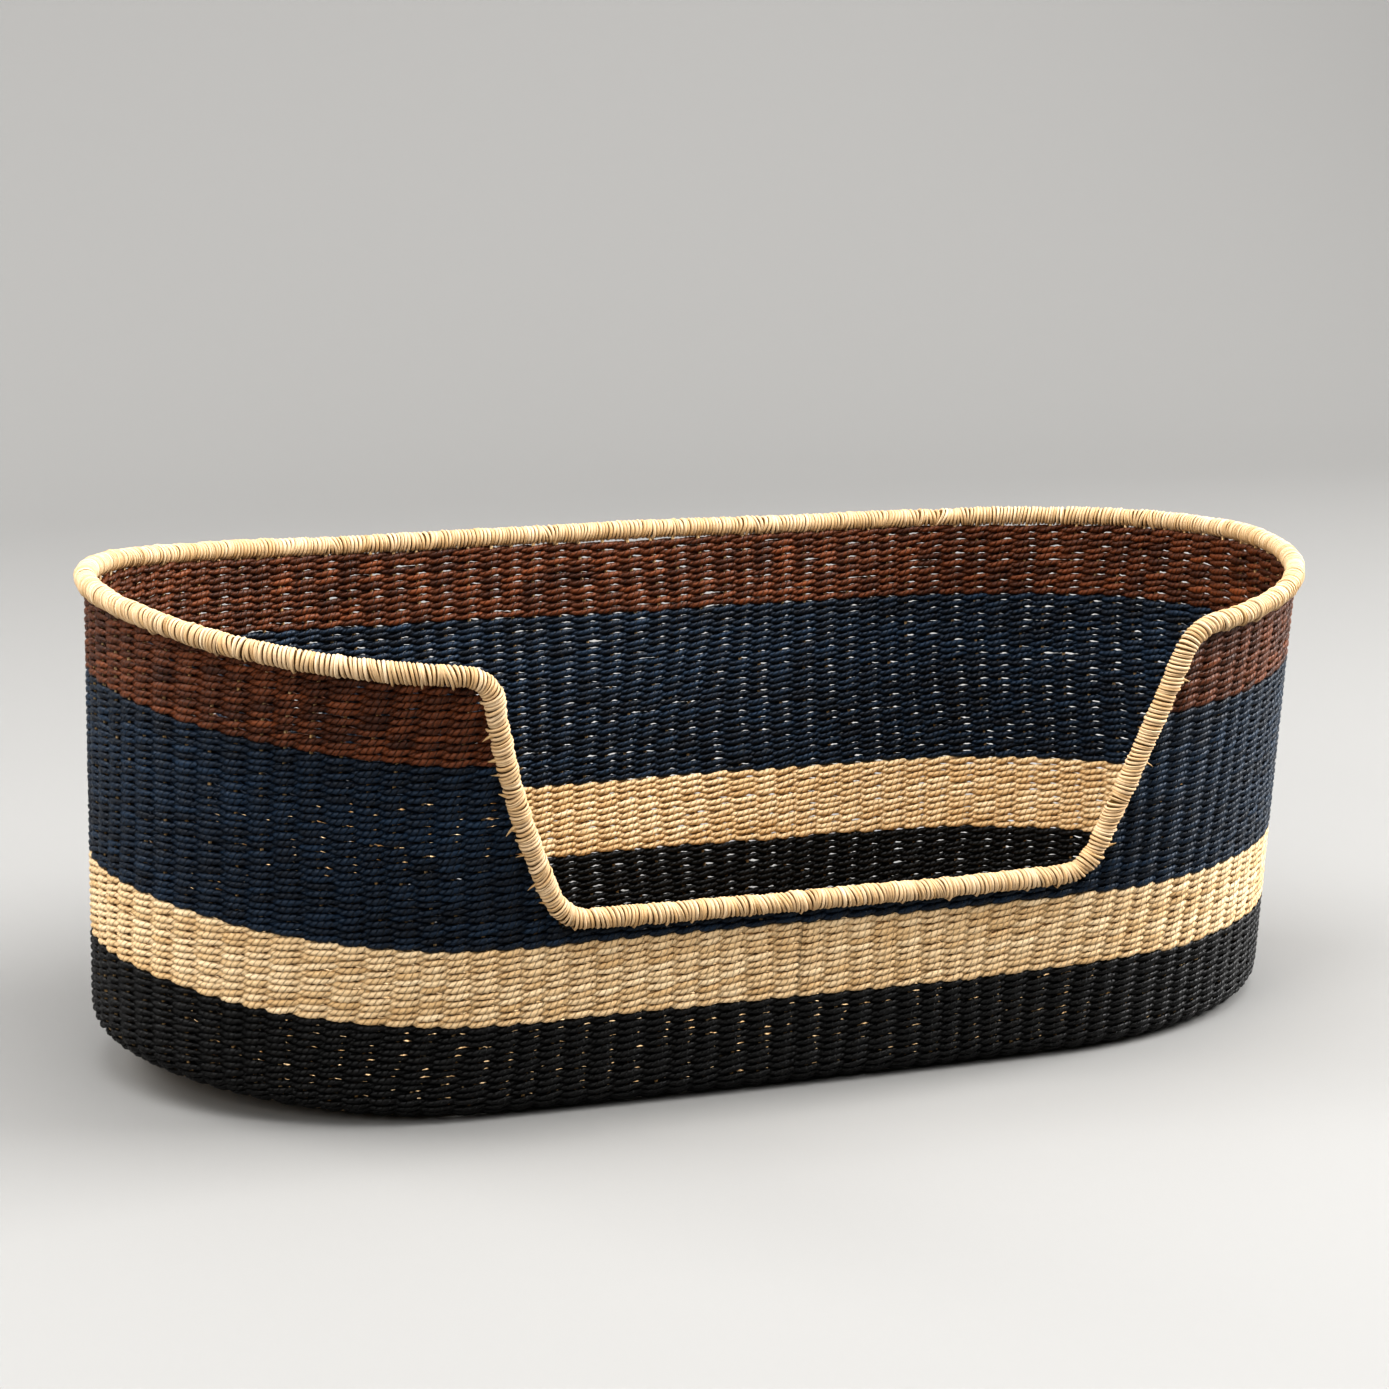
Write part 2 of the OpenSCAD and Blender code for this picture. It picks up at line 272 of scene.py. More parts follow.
def tube(path, face, thick, wide, sides, closed, tone):
    """Tube along path. face is the way its thickness points; thick and wide are half sizes."""
    n = len(path)
    if closed:
        along = np.roll(path, -1, axis=0) - np.roll(path, 1, axis=0)
    else:
        along = np.gradient(path, axis=0)
    along = unit(along)
    up = unit(face - np.sum(face * along, axis=1, keepdims=True) * along)
    side = np.cross(along, up)
    turn = np.linspace(0, 2 * math.pi, sides, endpoint=False)
    c, s = np.cos(turn), np.sin(turn)
    thick = per_point(thick, n, sides)
    wide = per_point(wide, n, sides)
    points = path[:, None, :] + (thick * c)[:, :, None] * up[:, None, :] \
        + (wide * s)[:, :, None] * side[:, None, :]
    travelled = np.concatenate([[0], np.cumsum(np.linalg.norm(np.diff(path, axis=0), axis=1))])
    lay = np.stack(np.broadcast_arrays(travelled[:, None], c, s), axis=-1)
    rings = n if closed else n - 1
    i = np.arange(rings)[:, None]
    j = np.arange(sides)[None, :]
    i2, j2 = (i + 1) % n, (j + 1) % sides
    quads = np.stack([i * sides + j, i * sides + j2, i2 * sides + j2, i2 * sides + j], axis=-1)
    quads = quads.reshape(-1, 4)
    if not closed:
        k = np.arange(sides // 2 - 1)
        cap = np.stack([k, k + 1, sides - 2 - k, sides - 1 - k], axis=-1)
        quads = np.concatenate([quads, cap[:, ::-1], cap + (n - 1) * sides])
    tones = np.repeat(np.broadcast_to(tone, (n,)), sides)
    return points.reshape(-1, 3), quads, lay.reshape(-1, 3), tones


def piece(name, tubes, material, nodes):
    """One mesh object out of many tubes, riding on the basket and standing for CAD nodes."""
    points = np.concatenate([t[0] for t in tubes]) * MM
    starts = np.cumsum([0] + [len(t[0]) for t in tubes[:-1]])
    quads = np.concatenate([t[1] + start for t, start in zip(tubes, starts)])
    mesh = bpy.data.meshes.new(name)
    mesh.vertices.add(len(points))
    mesh.vertices.foreach_set("co", points.astype(np.float32).ravel())
    mesh.loops.add(quads.size)
    mesh.loops.foreach_set("vertex_index", quads.astype(np.int32).ravel())
    mesh.polygons.add(len(quads))
    mesh.polygons.foreach_set("loop_start", np.arange(0, quads.size, 4, dtype=np.int32))
    mesh.update(calc_edges=True)
    mesh.shade_smooth()
    lay = mesh.attributes.new("lay", "FLOAT_VECTOR", "POINT")
    lay.data.foreach_set("vector", np.concatenate([t[2] for t in tubes]).astype(np.float32).ravel())
    tone = mesh.attributes.new("tone", "FLOAT", "POINT")
    tone.data.foreach_set("value", np.concatenate([t[3] for t in tubes]).astype(np.float32))
    mesh.materials.append(material)
    thing = bpy.data.objects.new(name, mesh)
    bpy.context.scene.collection.objects.link(thing)
    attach(thing, "root")
    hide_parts(*nodes)
    print(f"{name}: {len(tubes)} tubes, {2 * len(quads)} triangles")


# %% [markdown]
# Materials: the grass is taken to be elephant grass, undyed or dyed before it was twisted. Its skin is
# waxy and smooth, which gives a satin gleam, and its fibres run along the blade. The twist of two plies
# shows as slanting grooves every few millimetres. Undyed grass varies from cream to tan, and dye takes
# unevenly, so each colour is a mix of a dark and a light shade.

# %% Material helpers


def srgb(hex_code):
    """Linear colour of an sRGB hex code."""
    parts = [int(hex_code[i:i + 2], 16) / 255 for i in (1, 3, 5)]
    return [c / 12.92 if c <= 0.04045 else ((c + 0.055) / 1.055) ** 2.4 for c in parts] + [1.0]


def add_node(tree, kind, inputs=None, **settings):
    """Adds a node, sets it up, and fills its inputs with values or with links from other sockets."""
    node = tree.nodes.new(kind)
    for name, value in settings.items():
        setattr(node, name, value)
    for socket, value in (inputs or {}).items():
        if isinstance(value, bpy.types.NodeSocket):
            tree.links.new(value, node.inputs[socket])
        else:
            node.inputs[socket].default_value = value
    return node


def new_material(name):
    material = bpy.data.materials.new(name)
    material.use_nodes = True
    tree = material.node_tree
    return material, tree, tree.nodes["Principled BSDF"]


# %% [markdown]
# One builder makes all the grass materials. It turns the direction round the strand by an angle that
# grows along it, which gives coordinates that follow the twist. Noise stretched along those coordinates
# draws the fibres, and the folded coordinate draws the groove between the plies as a bump and painted
# shade.

# %% Grass material
FIBRE_MM = 14.0                                 # length of a streak along the blade
PLY_LAY_MM = 9.0                                # length in which the plies turn once
BLOTCH_MM = 38.5                                # size of a patch that took the dye alike
BUMP_MM = 0.6                                   # depth of the fibres and grooves
streaks_across = 3.2                            # streaks across half a strand
groove_share = 0.45                             # share of half a strand that a groove takes
streak_gain = 1.25                              # stretches the streaks over the whole colour range
streak_shift = -0.42                            # and darkens them


def grass(name, dark, light, lay_mm, roughness, painted_groove_shade, gloss, patch=0.35):
    material, tree, shader = new_material(name)
    lay = add_node(tree, "ShaderNodeAttribute", attribute_name="lay")
    tone = add_node(tree, "ShaderNodeAttribute", attribute_name="tone")
    split = add_node(tree, "ShaderNodeSeparateXYZ", {"Vector": lay.outputs["Vector"]})
    angle = add_node(tree, "ShaderNodeMath", {0: split.outputs["X"], 1: 2 * math.pi / lay_mm},
                     operation="MULTIPLY")
    twisted = add_node(tree, "ShaderNodeVectorRotate",
                       {"Vector": lay.outputs["Vector"], "Angle": angle.outputs[0]},
                       rotation_type="X_AXIS")
    stretched = add_node(tree, "ShaderNodeVectorMath",
                         {0: twisted.outputs[0], 1: (1 / FIBRE_MM, streaks_across, streaks_across)},
                         operation="MULTIPLY")
    fibre = add_node(tree, "ShaderNodeTexNoise",
                     {"Vector": stretched.outputs[0], "Scale": 1.0, "Detail": 4.0, "Roughness": 0.6})
    place = add_node(tree, "ShaderNodeTexCoord")
    blotch = add_node(tree, "ShaderNodeTexNoise",
                      {"Vector": place.outputs["Object"], "Scale": 1 / (BLOTCH_MM * MM), "Detail": 3.0})
    across = add_node(tree, "ShaderNodeSeparateXYZ", {"Vector": twisted.outputs[0]})
    from_seam = add_node(tree, "ShaderNodeMath", {0: across.outputs["Y"]}, operation="ABSOLUTE")
    groove = add_node(tree, "ShaderNodeMapRange",
                      {"Value": from_seam.outputs[0], "From Min": 0.0, "From Max": groove_share})
    mixed = add_node(tree, "ShaderNodeMath", {0: fibre.outputs[0], 1: streak_gain, 2: streak_shift},
                     operation="MULTIPLY_ADD")
    toned = add_node(tree, "ShaderNodeMath", {0: tone.outputs["Fac"], 1: 0.2, 2: mixed.outputs[0]},
                     operation="MULTIPLY_ADD")
    patched = add_node(tree, "ShaderNodeMath",
                       {0: blotch.outputs[0], 1: patch, 2: toned.outputs[0]},
                       operation="MULTIPLY_ADD")
    shift = add_node(tree, "ShaderNodeMath", {0: patched.outputs[0], 1: 0.5 * patch},
                     operation="SUBTRACT", use_clamp=True)
    colour = add_node(tree, "ShaderNodeMix", {0: shift.outputs[0], 6: srgb(dark), 7: srgb(light)},
                      data_type="RGBA")       # inputs 6 and 7 are its two colours
    # painted shade: the colour darkens towards the groove between the plies, where shade would fall
    shade = add_node(tree, "ShaderNodeMapRange",
                     {"Value": groove.outputs[0], "To Min": 1 - painted_groove_shade, "To Max": 1.0})
    colour_with_painted_groove_shade = add_node(tree, "ShaderNodeVectorMath",
                        {0: colour.outputs[2], "Scale": shade.outputs[0]}, operation="SCALE")
    height = add_node(tree, "ShaderNodeMath",
                      {0: fibre.outputs[0], 1: 0.6, 2: groove.outputs[0]}, operation="MULTIPLY_ADD")
    bump = add_node(tree, "ShaderNodeBump",
                    {"Height": height.outputs[0], "Strength": 0.9, "Distance": BUMP_MM * MM})
    tree.links.new(colour_with_painted_groove_shade.outputs[0], shader.inputs["Base Color"])
    tree.links.new(bump.outputs[0], shader.inputs["Normal"])
    shader.inputs["Roughness"].default_value = roughness
    shader.inputs["Specular IOR Level"].default_value = gloss
    return material


natural_grass = grass("undyed twisted elephant grass", "#C6A77C", "#F8E6C6", PLY_LAY_MM, 0.55, 0.4,
                      0.3)
black_grass = grass("black dyed elephant grass", "#040404", "#171513", PLY_LAY_MM, 0.4, 0.6, 0.32)
navy_grass = grass("navy dyed elephant grass", "#0B141F", "#223B52", PLY_LAY_MM, 0.4, 0.6, 0.3)
brown_grass = grass("brown dyed elephant grass", "#3C1E0D", "#945834", PLY_LAY_MM, 0.42, 0.6, 0.28)
stake_grass = grass("dry undyed grass stake", "#B8976A", "#EDD8B4", 60.0, 0.6, 0.15, 0.3)
lashing_grass = grass("split undyed grass wound tight", "#BC9C72", "#F3E0C4", 400.0, 0.5, 0.0, 0.3)
# painted shade: the rim's core is a darker brown than undyed grass, so the gaps between the lashing's
# turns look shaded
core_grass_in_painted_shade = grass("grass bundle inside the rim, darkened as painted shade", "#5C4526", "#917348", 400.0, 0.7, 0.0, 0.1)
print("materials:", ", ".join(material.name for material in bpy.data.materials))

# %% [markdown]
# A twined row is two strands half a turn apart on a flat spiral round the stakes. Seen from outside the
# front strand rises to the right, as both do when a weaver twists them away from themselves. The tube's
# section is pinched on two sides, and the pinch turns along the strand as the two plies of grass do.

# %% Twined rows
strand_thick = 1.75                             # half size of a strand through the wall
strand_wide = 2.5                               # half size up the wall where it lies flat on a stake
strand_turned = 1.6                             # half size up the wall where the pair crosses
swing = half_t - strand_thick                   # how far a strand swings out and in round a stake
climb = 1.15                                    # how far it swings up and down as the pair crosses
bulge = 0.4                                     # how much a strand bulges right where they cross
ply_pinch = 0.13                                # how deep the seam between the two plies is pinched
rings_per_stitch = 9
strand_sides = 6


def ply_section(n, travelled, start):
    """Half sizes round a two-ply strand: pinched, with the pinch turning along it."""
    turn = np.linspace(0, 2 * math.pi, strand_sides, endpoint=False)[None, :]
    return 1 + ply_pinch * np.cos(2 * (turn - 2 * math.pi * travelled[:, None] / PLY_LAY_MM - start))


def twined_strand(p, which, f0, f1, closed, fullness, rng):
    """One strand of the row at p. which is 1 for a strand and -1 for its partner."""
    stitches = (f1 - f0) * stake_count
    n = int(round(stitches * rings_per_stitch))
    f = np.linspace(f0, f1, n, endpoint=not closed)
    turn = math.pi * (f * stake_count - 0.5 + stake_shift(f, p))
    knots = max(4, int(stitches))
    sway = 1 + 0.07 * smooth_noise(rng, knots, n)
    rise = which * climb * np.sin(turn) + row_ripple(f, p) + 0.4 * smooth_noise(rng, knots, n)
    side = np.cos(turn)
    depth = which * swing * np.sign(side) * np.abs(side) ** 0.8 * np.clip(sway, 0.8, 1.06)
    path = woven(f, p + rise, depth)
    face = woven(f, p + rise, depth + 1) - path
    stretched = (lift(path[:, 0], 100.0) - lift(path[:, 0], 0.0)) / 100
    plump = fullness * (1 + 0.1 * np.clip(smooth_noise(rng, knots, n), -2, 2)
                        - 0.03 * wander(f + 0.61, p, 90) + stretched)
    crossing = np.abs(np.sin(turn)) ** 12
    wide = plump * (strand_turned + (strand_wide - strand_turned) * side ** 2 + bulge * crossing)
    ply = ply_section(n, (f - f0) * perimeter, rng.uniform(0, math.pi))
    tone = rng.normal(0, 0.3) + 0.6 * smooth_noise(rng, max(4, knots // 2), n)
    return tube(path, face, strand_thick * ply, wide[:, None] * ply, strand_sides, closed, tone)


print(f"a strand is {2 * strand_wide:.1f} mm wide on a stake and {2 * strand_turned:.1f} mm beside it")

# %% [markdown]
# The entrance is a wide dip in the front wall with sloping sides. A row above the sill starts at one
# slope, passes round the back and ends at the other. Its ends are tucked under the lashing, and the top
# rows stop a little sooner, where the rim turns its corner.

# %% Where the rows end
foot_width = 388.0                              # the entrance at the sill
head_width = 514.0                              # and at the top of the wall
foot_shift = 19.0                               # it lies a little to the right of the middle
head_shift = 23.0
slope_bow = 8.0                                 # how far the left slope bows outwards halfway up


def edge_x(z, side):
    """x of the rim's middle on a slope of the entrance: side is -1 at the left and 1 at the right."""
    rise = (z - sill_height) / (rim_height - sill_height)
    foot = foot_shift + side * foot_width / 2
    head = head_shift + side * head_width / 2
    return foot + (head - foot) * rise - (slope_bow * 4 * rise * (1 - rise) if side < 0 else 0)


corner_run = 20.0                               # how far from a corner the rim starts to turn
corner_cut = 9.0                                # how much sooner the topmost row stops
tuck = 2.5                                      # a row's end stops this far inside the lashing


def row_span(z):
    """Where a row starts and ends: the whole way round, or from slope to slope past the back."""
    if z < sill_height - rim_r:
        return 0.0, 1.0, True
    cut = corner_cut * max(0, (z - weave_top + corner_run) / corner_run) ** 2
    left = edge_x(z, -1) - tuck - cut
    right = edge_x(z, 1) + tuck + cut
    return float(front_f(right)), 1 + float(front_f(left)), False


print(f"the entrance is {foot_width:.0f} mm wide at the sill and {head_width:.0f} mm at the top")

# %% [markdown]
# The bands, from the floor up: black, undyed, navy and brown. The two lowest navy rows still run the
# whole way round under the sill. A band is shared among a few meshes, so that none grows too heavy. The
# last number is how full the strands are, and a tighter band shows fewer gaps.

# %% Bands of colour


def rows(name, p0, p1, count, material, node, per_piece, fullness):
    """Rows between two distances up the weave, shared among as many pieces as their size needs."""
    pitch = (p1 - p0) / count
    heights = [p0 + pitch * (i + 0.5) for i in range(count)]
    for part, first in enumerate(range(0, count, per_piece)):
        tubes = []
        for p in heights[first:first + per_piece]:
            f0, f1, closed = row_span(p - turn_len + turn_top)
            for which in (1, -1):
                tubes.append(twined_strand(p, which, f0, f1, closed, fullness, rng_rows))
        piece(f"{name}_{part + 1}", tubes, material, [node + "_outer", node + "_inner"])
    print(f"{name}: {count} rows {pitch:.2f} mm apart")


rng_rows = np.random.default_rng(21)
rows("black_rows", 1.5, p_of(black_top), 14, black_grass, "black_band", 5, 1.02)
rows("natural_rows", p_of(black_top), p_of(natural_top), 11, natural_grass,
     "natural_band", 6, 1.04)
lower_row_pitch = 5.25
lower_top = natural_top + 2 * lower_row_pitch
rows("navy_rows_lower", p_of(natural_top), p_of(lower_top), 2, navy_grass,
     "navy_band_lower", 2, 1.05)
rows("navy_rows_upper", p_of(lower_top), p_of(navy_top), 23, navy_grass,
     "navy_band_upper", 6, 1.04)
rows("brown_rows", p_of(navy_top), p_of(weave_top + 1), 10, brown_grass,
     "brown_band", 5, 1.05)

# %% [markdown]
# The floor is twined too, in rings that shrink towards a line along its middle. Its stakes are the
# same straws as the wall's. Towards the rounded ends they fan out, and a weaver leaves some of them out
# near the middle, where they would crowd, so the inner rings pass over every second or fourth one.

# %% Floor
floor_a = half_a
floor_b = float(half_b(0))
floor_pitch = 5.3


def floor_point(f, inset, depth):
    """Point of the floor: inset from the wall's middle, and depth downwards from its own middle."""
    share = inset / floor_b
    st = half_st + (floor_a - floor_b - half_st) * share
    k, v = fold(f)
    w = np.interp(v * quarter_len, table_len, table_w)
    t = np.clip((w - straight_share) / (1 - straight_share), 0, 1) * math.pi / 2
    on_side = w < straight_share
    x = np.where(on_side, st * w / straight_share, st + (floor_a - inset - st) * np.sin(t))
    bow = side_bow * (1 - share) * (1 - np.cos(math.pi / 2 * x / floor_a))
    y = np.where(on_side, 1, np.cos(t)) * (floor_b - inset - bow)
    x, y = unfold(k, x, y)
    z = half_t - depth + lift(x, 0 * x)
    return np.stack([x, y, z], axis=-1)


def thinning(inset):
    """Of how many stakes in a rounded end one still reaches this far in."""
    return 1 if inset < 0.42 * floor_b else 2 if inset < 0.72 * floor_b else 4


def floor_stitches(f, inset):
    """Count of stakes passed on the way round, fewer in the rounded ends near the middle."""
    k, v = fold(f)
    per_quarter = stake_count / 4
    on_side = side_share * per_quarter
    tip = round(2 * (on_side + (1 - side_share) * per_quarter / thinning(inset))) / 2
    count = np.where(v < side_share, v * per_quarter,
                     on_side + (v - side_share) / (1 - side_share) * (tip - on_side))
    return np.where(k % 2 == 0, k * tip + count, (k + 1) * tip - count)


def floor_strand(inset, which, rng):
    just_before_tip = np.array(0.2499)
    n = int(4 * rings_per_stitch * floor_stitches(just_before_tip, inset))
    f = np.linspace(0, 1, n, endpoint=False)
    turn = math.pi * (floor_stitches(f, inset) - 0.5)
    depth = which * swing * np.cos(turn)
    shift = which * climb * np.sin(turn) + 0.2 * smooth_noise(rng, n // rings_per_stitch, n)
    path = floor_point(f, inset - shift, depth)
    face = np.broadcast_to(np.array([0.0, 0.0, -1.0]), path.shape)
    travelled = np.linspace(0, 1, n) * perimeter * (1 - inset / floor_b)
    wide = strand_turned + (strand_wide - strand_turned) * np.cos(turn) ** 2
    ply = ply_section(n, travelled, rng.uniform(0, math.pi))
    tone = rng.normal(0, 0.3) + 0.6 * smooth_noise(rng, max(4, n // 30), n)
    return tube(path, face, strand_thick * ply, wide[:, None] * ply, strand_sides, True, tone)


outer_ring = turn_r + 1.2
floor_rings = round((floor_b - outer_ring) / floor_pitch)
insets = np.linspace(outer_ring, floor_b - floor_pitch / 2, floor_rings)
per_piece = 7
for part, first in enumerate(range(0, floor_rings, per_piece)):
    strands = [floor_strand(inset, which, rng_rows)
               for inset in insets[first:first + per_piece] for which in (1, -1)]
    piece(f"floor_rows_{part + 1}", strands, natural_grass, ["base_weave"])
print(f"the floor has {floor_rings} rings")

# %% [markdown]
# A stake is a thin straight straw. Each one follows its own place as the hand-work field moves it, so it
# stays between the strands that hold it. The wall's stakes end in the rim, and the floor's run inwards
# through the rings.

# %% Stakes
stake_r = 1.15
full_height = weave_top + 3                     # a stake's end is hidden in the rim


def stake_top_z(f):
    """Height at which the stake at f ends: in the rim, in a slope's rim or in the sill's."""
    if 0.25 < f < 0.75:
        return full_height
    x = float(ring(np.array(f), np.array(sill_height))[0])
    side = 1 if x > foot_shift else -1
    z = np.linspace(sill_height, rim_height, 30)
    edge = side * np.array([edge_x(q, side) for q in z])
    return min(full_height, float(np.interp(side * x, edge, z)))


def stake(i, rng):
    """Stake number i of the wall, from the floor's edge up."""
    f = (i + 0.5) / stake_count
    top = p_of(stake_top_z(f))
    p = np.concatenate([np.linspace(0, turn_len, 5), np.linspace(turn_len, top, 14)[1:]])
    at = f - stake_shift(f, p) / stake_count
    depth = 0.15 * rng.normal(0, 1, len(p))
    path = woven(at, p, depth)
    face = woven(at, p, depth + 1) - path
    return tube(path, face, stake_r, stake_r * 1.15, 6, False, rng.normal(0, 0.6))


stake_groups = {"stakes_sill": (front_f(edge_x(sill_height, -1)), front_f(edge_x(sill_height, 1))),
                "stakes_front_right": (front_f(edge_x(sill_height, 1)), 0.17),
                "stakes_right_end": (0.17, 0.33), "stakes_back": (0.33, 0.67),
                "stakes_left_end": (0.67, 0.83),
                "stakes_front_left": (0.83, 1 + front_f(edge_x(sill_height, -1)))}
rng_stakes = np.random.default_rng(5)
for name, (start, end) in stake_groups.items():
    members = [i for i in range(-stake_count, stake_count) if start <= (i + 0.5) / stake_count < end]
    piece(name.replace("stakes", "upright_stakes"),
          [stake(i % stake_count, rng_stakes) for i in members], stake_grass, [name])


def floor_stake(i):
    """Stake number i of the floor, from its edge in. In the rounded ends most of them stop early."""
    f = (i + 0.5) / stake_count
    in_cap = min(f % 0.5, 0.5 - f % 0.5) > 0.25 * side_share
    reach = 0.99 if not in_cap or i % 4 == 0 else 0.72 if i % 2 == 0 else 0.42
    inset = np.linspace(turn_r, reach * floor_b, 12)
    path = floor_point(np.full(12, f), inset, np.zeros(12))
    face = np.broadcast_to(np.array([0.0, 0.0, -1.0]), path.shape)
    return tube(path, face, stake_r, stake_r, 6, False, 0.0)


piece("floor_stakes", [floor_stake(i) for i in range(stake_count)], stake_grass,
      ["base_stakes"])

# %% [markdown]
# The rim's path lies on the same surface: along the sill, up the right slope, all the way round the top
# and down the left slope, with each corner rounded by a quadratic curve. It is resampled to even steps,
# so that a place on the rim is a single distance along it.

# %% The rim's path


def toward(p, q, d):
    """Point at distance d from p on the way to q."""
    return p + (q - p) * d / np.linalg.norm(q - p)


def bend(p, c, q):
    """Rounded corner from p to q round the sharp corner c."""
    t = np.linspace(0, 1, 9)[:, None]
    return (1 - t) ** 2 * p + 2 * t * (1 - t) * c + t ** 2 * q


def run_between(p, q, n):
    """Points between p and q, without the two ends."""
    return p + (q - p) * np.linspace(0, 1, n + 1)[1:-1, None]


def bowed(points, side):
    """Moves points of a straight slope onto the bowed one."""
    return np.array([[edge_x(z, side), z] for _, z in points])


foot_l = np.array([edge_x(sill_height, -1), sill_height])
foot_r = np.array([edge_x(sill_height, 1), sill_height])
head_l = np.array([edge_x(rim_height, -1), rim_height])
head_r = np.array([edge_x(rim_height, 1), rim_height])
right_out = head_r + [corner_run, 0]
left_out = head_l - [corner_run, 0]


def on_front(points, turns):
    """Turns points given by x and height into points given by f and height."""
    points = np.array(points)
    return np.stack([front_f(points[:, 0]) + turns, points[:, 1]], axis=1)


sill_part = on_front(run_between(toward(foot_l, foot_r, corner_run),
                                 toward(foot_r, foot_l, corner_run), 40), 0)
right_part = on_front(np.concatenate([
    bend(toward(foot_r, foot_l, corner_run), foot_r, toward(foot_r, head_r, corner_run)),
    run_between(toward(foot_r, head_r, corner_run), toward(head_r, foot_r, corner_run), 20),
    bend(toward(head_r, foot_r, corner_run), head_r, right_out)]), 0)
top_part = run_between(np.array([float(front_f(right_out[0])), rim_height]),
                       np.array([1 + float(front_f(left_out[0])), rim_height]), 300)
left_part = on_front(np.concatenate([
    bend(left_out, head_l, bowed([toward(head_l, foot_l, corner_run)], -1)[0]),
    bowed(run_between(toward(head_l, foot_l, corner_run), toward(foot_l, head_l, corner_run), 20), -1),
    bend(bowed([toward(foot_l, head_l, corner_run)], -1)[0], foot_l,
         toward(foot_l, foot_r, corner_run))]), 1)
route = np.concatenate([right_part, top_part, left_part, sill_part + [1, 0], right_part[:1] + [1, 0]])
rim_wave = 0.9 * wander(route[:, 0], 0, 60)
rim_line = wall(route[:, 0], route[:, 1] + rim_wave, rim_out_by)
rim_nx, rim_ny = outward(route[:, 0], route[:, 1])
rim_out = np.stack([rim_nx, rim_ny, 0 * rim_nx], axis=1)
rim_s = np.concatenate([[0], np.cumsum(np.linalg.norm(np.diff(rim_line, axis=0), axis=1))])
rim_len = rim_s[-1]
print(f"the rim is {rim_len:.0f} mm long")


def along_rim(s):
    """Rim centre and the outward and weave-ward directions at distances s along it."""
    s = s % rim_len
    step = 3.0

    def at(q):
        return np.stack([np.interp(q % rim_len, rim_s, rim_line[:, k]) for k in range(3)], axis=-1)

    along = unit(at(s + step) - at(s - step))
    out = np.stack([np.interp(s, rim_s, rim_out[:, k]) for k in range(3)], axis=-1)
    out = unit(out - np.sum(out * along, axis=-1, keepdims=True) * along)
    return at(s), out, np.cross(along, out)


def s_at(f, z=None):
    """Distance along the rim of its place nearest to f, and nearest to height z where z is given."""
    i = int(np.argmin(np.abs(route[:, 0] - f) + (0 if z is None else np.abs(route[:, 1] - z))))
    return float(rim_s[i])


# %% [markdown]
# The lashing is a strip of split grass wound round the core, put on in stretches. Each turn lies next to
# the last, a little uneven in width and tilt. At about three stakes in five a turn dips between the top
# rows, and these stitches are what holds the rim on.

# %% Rim core and lashing
# The core's dark colour is painted shade, seen in the gaps between the turns of the strip.
core_s = np.arange(0, rim_len, 8.0)
core_at, core_face, _ = along_rim(core_s)
core_lies = core_r + 0.5
piece("rim_core_bundle", [tube(core_at, core_face, core_lies, core_lies, 10, True, 0.0)],
      core_grass_in_painted_shade, ["rim_core"])

strip_pitch = 2.8                               # from one turn of the strip to the next
strip_thick = 1.1                               # half its thickness
strip_lie = core_r + 1.5                        # radius at which the strip's middle lies
tail = 1.9                                      # how far a stitch reaches down between the rows
stitched_share = 0.6                            # share of the stakes that have a stitch
points_per_turn = 14


def lashing(s0, s1, rng):
    """The strip wound from s0 to s1 along the rim."""
    turns = max(3, int(round((s1 - s0) / strip_pitch)))
    n = turns * points_per_turn + 1
    t = np.linspace(0, turns, n)
    k = t.astype(int)

    def by_turn(values):
        return np.interp(t, np.arange(turns + 2), values)

    widths = np.clip(1 + 0.16 * rng.normal(0, 1, turns + 2), 0.65, 1.4)
    starts = np.concatenate([[0], np.cumsum(widths)])
    starts = starts / starts[turns] * (s1 - s0)
    s = s0 + np.interp(t, np.arange(len(starts)), starts)
    angle = 2 * math.pi * t
    tilt = smooth_noise(rng, max(4, turns // 3), n)
    s = s + (1.0 + 1.1 * tilt) * np.sin(angle) + 0.3 * np.cos(angle)
    at, out, weave = along_rim(s)
    at_stake = (k + 3) % round(stake_pitch / strip_pitch) == 0
    stitch = at_stake & (rng.uniform(0, 1, turns + 2)[k] < stitched_share)
    towards_weave = np.clip(np.sin(angle), 0, 1)
    reach = np.where(stitch, tail, 0.0) * towards_weave ** 4
    lumpy = 0.2 * smooth_noise(rng, turns * 2, n) + 0.34 * by_turn(rng.normal(0, 1, turns + 2))
    r = strip_lie + np.clip(lumpy, -0.6, 0.7) + reach
    path = at + r[:, None] * (np.cos(angle)[:, None] * out + np.sin(angle)[:, None] * weave)
    face = path - at
    wide = 0.5 * strip_pitch * by_turn(widths) * (0.9 - 0.3 * reach / tail)
    ends = np.clip(np.minimum(t, turns - t) * 2, 0.5, 1)
    tone = 0.4 * by_turn(rng.normal(0, 1, turns + 2)) + 0.3 * smooth_noise(rng, turns * 2, n)
    return tube(path, face, strip_thick * ends, wide * ends, 6, False, tone)


